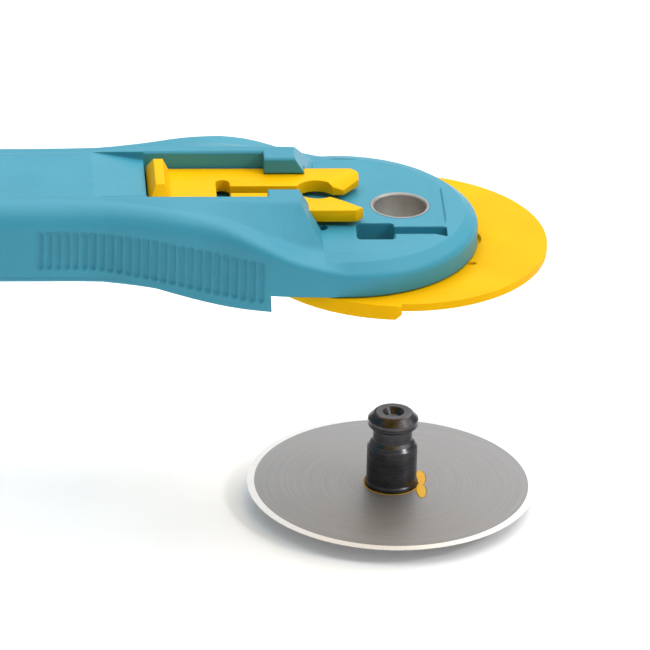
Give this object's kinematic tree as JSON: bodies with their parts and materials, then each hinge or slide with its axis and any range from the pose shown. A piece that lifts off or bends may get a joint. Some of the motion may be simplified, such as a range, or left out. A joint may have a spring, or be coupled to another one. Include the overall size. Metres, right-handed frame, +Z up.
{
  "type": "rotary cutter",
  "caption": "Straight-handled rotary cutter with a round blade on a grooved pin, a sliding disc guard and a forked clip that releases the blade.",
  "frame": {"origin": "centre of the flat underside of the blade pin's foot, with the blade set in its lowered stored pose", "axes": "+Z up along the pin's axis, +X from the grip towards the nose of the head, +Y across the handle"},
  "size_m": [0.1872, 0.0474, 0.0568],
  "materials": {
    "teal_plastic": "fine satin moulded",
    "yellow_plastic": "smooth satin moulded",
    "guard_plastic": "smooth satin moulded",
    "bush_steel": "turned",
    "pin_steel": "black oxide, oiled",
    "blade_steel": "fine ground",
    "screw_steel": "zinc plated"
  },
  "bodies": {
    "handle": {"back_shell": "teal_plastic", "front_shell": "teal_plastic", "shell_screws": "screw_steel", "pin_bush": "bush_steel"},
    "release": {"release_slide": "yellow_plastic"},
    "guard": {"blade_guard": "guard_plastic"},
    "pin": {"blade_pin": "pin_steel"},
    "blade_set": {"blade": "blade_steel", "blade_washer": "yellow_plastic"}
  },
  "joints": [
    {"name": "release_slide", "type": "slide", "parent": "handle", "child": "release", "axis": [1, 0, 0], "range_m": [0, 0.0129]},
    {"name": "guard_slide", "type": "slide", "parent": "handle", "child": "guard", "axis": [-1, 0, 0], "range_m": [0, 0.007]},
    {"name": "blade_lift", "type": "slide", "parent": "handle", "child": "pin", "axis": [0, 0, 1], "range_m": [0, 0.041]},
    {"name": "blade_spin", "type": "hinge", "parent": "pin", "child": "blade_set", "pos_m": [0, 0, 0.0027], "axis": [0, 0, 1], "continuous": true}
  ]
}
